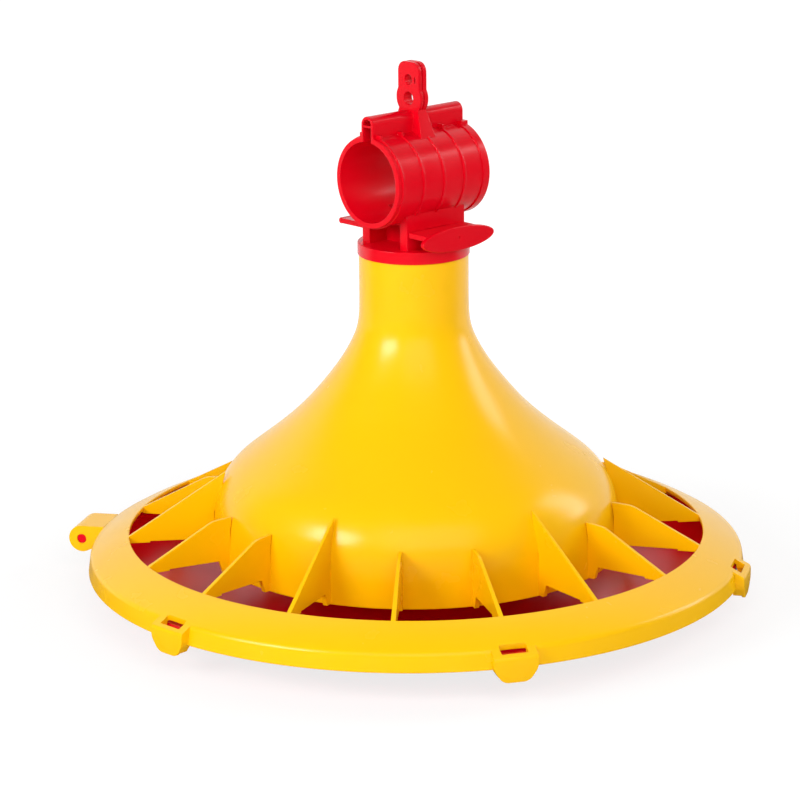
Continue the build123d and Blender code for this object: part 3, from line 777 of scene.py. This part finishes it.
class FEEDER_OT_feed_pan(bpy.types.Operator):
    """Feed pan with spreading cone, latch tongues and hinge knuckle"""
    bl_idname = "feeder.feed_pan"
    bl_label = "Feed pan"

    def execute(self, context):
        p = in_mm(context.scene.feeder_pan)
        s = in_mm(context.scene.feeder_grille)
        tip = p.cone_top_z
        points = [
            (0, tip - p.wall), (7.0, tip - p.wall), (p.cone_r, 0), (p.base_r, 0),
            (p.pan_r - 4, p.rim_low_z - 2.2), (p.pan_r, p.rim_low_z), (p.pan_r, p.rim_top_z),
            (p.pan_r - p.wall, p.rim_top_z), (p.pan_r - p.wall, p.rim_low_z + 1.2),
            (p.pan_r - 6, p.rim_low_z - 0.2), (p.base_r - 1, p.wall),
            (p.cone_r + 1.2, p.wall), (9.0, tip - 0.8), (7.0, tip), (0, tip)]
        corners = {3: 2.0, 6: 0.6, 7: 0.6, 10: 6.0, 11: 4.0, 12: 2.0}
        whole = shape_from(revolved(points, corners, 288), "pan")
        out = s.ring_r + s.lug_out - 2.6
        tongue = shape_from(slab((p.pan_r - 1.5, out), (-7.3, 7.3),
                                 (s.skirt_z + 1.6, s.skirt_z + 4.6), 0.4), "tongue")
        places = [s.turned + math.radians(a) for a in LATCHES]
        parts = copies_about_z(tongue, places)
        half = s.hump_half - 2.6
        centre = (s.hinge_r, 0, s.hinge_z)
        for bm in (slab((p.pan_r - 1.5, s.hinge_r), (-half, half),
                        (s.hinge_z - 2.2, s.hinge_z + 2.2), 0.3),
                   round_bar(4.6, -half, half, "Y", centre, 0.3, 64),
                   round_bar(2.8, -s.hump_half, s.hump_half, "Y", centre, 0.4, 48)):
            parts.append(turned_about_z(shape_from(bm, "knuckle"),
                                        s.turned + math.radians(HINGE)))
        whole = joined(whole, parts)
        finished(whole, "red_feed_pan", PAN, ["feed_pan"], red_plastic())
        return {"FINISHED"}


CAMERA_AT = Vector((-1.2122763, -1.2992131, 0.6106195))
CAMERA_RIGHT = Vector((0.7326806, -0.6805129, -0.0090232))
CAMERA_UP = Vector((0.1886551, 0.1903429, 0.9634204))
CAMERA_LENS_MM = 144.4544
WORLD_LEVEL = 0.15


class FEEDER_OT_studio_stage(bpy.types.Operator):
    """White studio floor, soft lights and the camera"""
    bl_idname = "feeder.studio_stage"
    bl_label = "Studio stage"

    def camera(self, context):
        data = bpy.data.cameras.new("studio_camera")
        data.sensor_width = 36.0
        data.lens = CAMERA_LENS_MM
        data.clip_end = 20.0
        camera = bpy.data.objects.new("studio_camera", data)
        back = CAMERA_RIGHT.cross(CAMERA_UP)
        turned = Matrix((CAMERA_RIGHT, CAMERA_UP, back)).transposed().to_4x4()
        camera.matrix_world = Matrix.Translation(CAMERA_AT) @ turned
        context.scene.collection.objects.link(camera)
        context.scene.camera = camera

    def soft_light(self, context, name, side, height, away, size, power, mirrored=True):
        """Large area lamp at an angle to the camera's side, aimed at the feeder."""
        aim = Vector((0, 0, 0.12))
        front = CAMERA_AT * Vector((1, 1, 0))
        heading = math.atan2(front.y, front.x) + math.radians(side)
        lift = math.radians(height)
        spot = aim + away * Vector((math.cos(heading) * math.cos(lift),
                                    math.sin(heading) * math.cos(lift), math.sin(lift)))
        data = bpy.data.lights.new(name, "AREA")
        data.shape = "RECTANGLE"
        data.size, data.size_y = size
        data.energy = power
        lamp = bpy.data.objects.new(name, data)
        lamp.location = spot
        lamp.visible_glossy = mirrored
        lamp.rotation_euler = (aim - spot).to_track_quat("-Z", "Y").to_euler()
        context.scene.collection.objects.link(lamp)

    def floor(self, context):
        bm = bmesh.new()
        bmesh.ops.create_grid(bm, x_segments=1, y_segments=1, size=6.0)
        mesh = bpy.data.meshes.new("studio_floor")
        bm.to_mesh(mesh)
        bm.free()
        floor = bpy.data.objects.new("studio_floor", mesh)
        floor.location.z = -0.0002
        context.scene.collection.objects.link(floor)
        mesh.materials.append(self.paper())

    def paper(self):
        """Matt white paper that glows to plain white away from the feeder's shadow."""
        paper = bpy.data.materials.new("matt_white_paper")
        paper.use_nodes = True
        tree = paper.node_tree
        tree.nodes.clear()
        light = add(tree, "ShaderNodeLightPath")
        place = add(tree, "ShaderNodeTexCoord").outputs["Object"]
        away = add(tree, "ShaderNodeVectorMath", {"operation": "LENGTH"}, {0: place})
        glow = add(tree, "ShaderNodeMapRange", None,
                   {"Value": away.outputs["Value"], "From Min": 0.24, "From Max": 0.60,
                    "To Min": 0.80, "To Max": 1.0})
        lit = add(tree, "ShaderNodeBsdfDiffuse", None, {"Color": linear("808080")})
        shine = add(tree, "ShaderNodeEmission", None,
                    {"Color": linear("FFFFFF"), "Strength": glow.outputs["Result"]})
        seen = add(tree, "ShaderNodeAddShader", None, {0: lit.outputs[0], 1: shine.outputs[0]})
        matt = add(tree, "ShaderNodeBsdfDiffuse", None, {"Color": linear("F0F0F0")})
        # in a glossy skin the paper is bright behind the feeder and dim in front of it
        behind = self.behind(tree, place, 0.0, 0.3, 0.04)
        mirror = add(tree, "ShaderNodeEmission", None,
                     {"Color": linear("FFFFFF"), "Strength": behind.outputs["Result"]})
        first = add(tree, "ShaderNodeMixShader", None,
                    {0: light.outputs["Is Glossy Ray"], 1: matt.outputs[0],
                     2: mirror.outputs[0]})
        both = add(tree, "ShaderNodeMixShader", None,
                   {0: light.outputs["Is Camera Ray"], 1: first.outputs[0],
                    2: seen.outputs[0]})
        add(tree, "ShaderNodeOutputMaterial", None, {"Surface": both.outputs[0]})
        return paper

    def behind(self, tree, vector, low, high, dim):
        """Strength that grows from dim in front of the feeder to white behind it."""
        away = -CAMERA_AT * Vector((1, 1, 0))
        along = add(tree, "ShaderNodeVectorMath", {"operation": "DOT_PRODUCT"},
                    {0: vector, 1: away.normalized()})
        return add(tree, "ShaderNodeMapRange", None,
                   {"Value": along.outputs["Value"], "From Min": low, "From Max": high,
                    "To Min": dim, "To Max": 1.0})

    def world(self, context):
        """White studio that is seen white and lights evenly."""
        world = bpy.data.worlds.new("white_studio")
        context.scene.world = world
        world.use_nodes = True
        tree = world.node_tree
        tree.nodes.clear()
        light = add(tree, "ShaderNodeLightPath")
        way = add(tree, "ShaderNodeTexCoord").outputs["Generated"]
        behind = self.behind(tree, way, 0.3, 0.6, WORLD_LEVEL)
        studio = add(tree, "ShaderNodeBackground", None,
                     {"Color": linear("FFFFFF"), "Strength": behind.outputs["Result"]})
        white = add(tree, "ShaderNodeBackground", None,
                    {"Color": linear("FFFFFF"), "Strength": 1.0})
        both = add(tree, "ShaderNodeMixShader", None,
                   {0: light.outputs["Is Camera Ray"], 1: studio.outputs[0],
                    2: white.outputs[0]})
        add(tree, "ShaderNodeOutputWorld", None, {"Surface": both.outputs[0]})

    def execute(self, context):
        self.camera(context)
        self.world(context)
        self.floor(context)
        self.soft_light(context, "key_left", -50, 25, 1.6, (0.75, 0.45), 14)
        self.soft_light(context, "fill_front", 8, 33, 1.6, (1.4, 1.0), 15, mirrored=False)
        self.soft_light(context, "rim_right", 107, 24, 1.6, (0.45, 0.9), 7)
        context.scene.view_settings.view_transform = "Standard"
        return {"FINISHED"}


class FEEDER_PT_panel(bpy.types.Panel):
    bl_label = "Pan feeder"
    bl_idname = "FEEDER_PT_panel"
    bl_space_type = "VIEW_3D"
    bl_region_type = "UI"
    bl_category = "Pan feeder"

    def draw(self, context):
        for operator in OPERATORS:
            self.layout.operator(operator.bl_idname)


OPERATORS = (FEEDER_OT_cone_bell, FEEDER_OT_grille_fins, FEEDER_OT_rim_ring,
             FEEDER_OT_pipe_tee, FEEDER_OT_shutoff_slide, FEEDER_OT_feed_pan,
             FEEDER_OT_studio_stage)
GROUPS = {"feeder_grille": FeederGrilleSizes, "feeder_tee": FeederTeeSizes,
          "feeder_slide": FeederSlideSizes, "feeder_pan": FeederPanSizes,
          "feeder_finish": FeederFinish}


def register():
    for name, group in GROUPS.items():
        bpy.utils.register_class(group)
        setattr(bpy.types.Scene, name, bpy.props.PointerProperty(type=group))
    for cls in OPERATORS + (FEEDER_PT_panel,):
        bpy.utils.register_class(cls)


def unregister():
    for cls in reversed(OPERATORS + (FEEDER_PT_panel,)):
        bpy.utils.unregister_class(cls)
    for name, group in GROUPS.items():
        delattr(bpy.types.Scene, name)
        bpy.utils.unregister_class(group)


def main():
    register()
    bpy.ops.feeder.cone_bell()
    bpy.ops.feeder.grille_fins()
    bpy.ops.feeder.rim_ring()
    bpy.ops.feeder.pipe_tee()
    bpy.ops.feeder.shutoff_slide()
    bpy.ops.feeder.feed_pan()
    bpy.ops.feeder.studio_stage()


if __name__ == "__main__":
    main()
